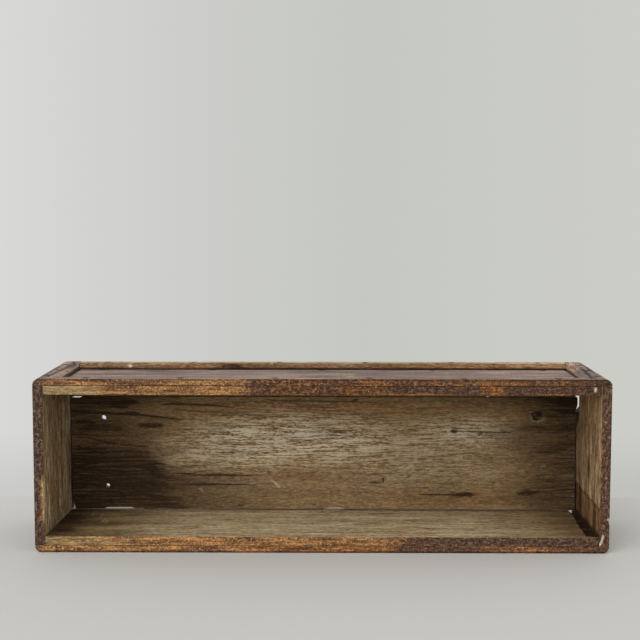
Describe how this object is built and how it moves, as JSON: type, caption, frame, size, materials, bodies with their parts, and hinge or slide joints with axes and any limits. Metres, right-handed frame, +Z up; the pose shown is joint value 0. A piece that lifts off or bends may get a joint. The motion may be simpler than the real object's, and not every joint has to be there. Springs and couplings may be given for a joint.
{
  "type": "open candle box",
  "caption": "Long narrow open box of nailed wooden boards, with thin framed strips on its long sides and a set-in bottom, to hold candles.",
  "frame": {"origin": "middle of the footprint, on the surface that the box lies on when it rests on its lower long side", "axes": "+X along the length, +Y from the mouth to the base, +Z up"},
  "size_m": [0.457, 0.1142, 0.1397],
  "materials": {
    "painted_end": "worn dark brown paint over weathered wood",
    "side_board": "weathered bare wood with worn edges",
    "painted_frame": "crackled and chipped brown paint",
    "bare_board": "dry grey brown bare wood, open grain",
    "iron_nail": "rusted iron"
  },
  "bodies": {
    "root": {"left_end_board": "painted_end", "right_end_board": "painted_end", "lower_side_board": "side_board", "lower_mouth_rail": "painted_frame", "lower_base_rail": "painted_frame", "lower_left_stile": "painted_frame", "lower_right_stile": "painted_frame", "upper_side_board": "side_board", "upper_mouth_rail": "painted_frame", "upper_base_rail": "painted_frame", "upper_left_stile": "painted_frame", "upper_right_stile": "painted_frame", "wide_bottom_board": "bare_board", "narrow_bottom_board": "bare_board", "left_bottom_nails": "iron_nail", "right_bottom_nails": "iron_nail", "lower_mouth_rail_nails": "iron_nail", "lower_base_rail_nails": "iron_nail", "lower_bottom_nails": "iron_nail", "lower_left_stile_nails": "iron_nail", "lower_left_corner_nails": "iron_nail", "lower_right_stile_nails": "iron_nail", "lower_right_corner_nails": "iron_nail", "upper_mouth_rail_nails": "iron_nail", "upper_base_rail_nails": "iron_nail", "upper_bottom_nails": "iron_nail", "upper_left_stile_nails": "iron_nail", "upper_left_corner_nails": "iron_nail", "upper_right_stile_nails": "iron_nail", "upper_right_corner_nails": "iron_nail"}
  },
  "joints": []
}
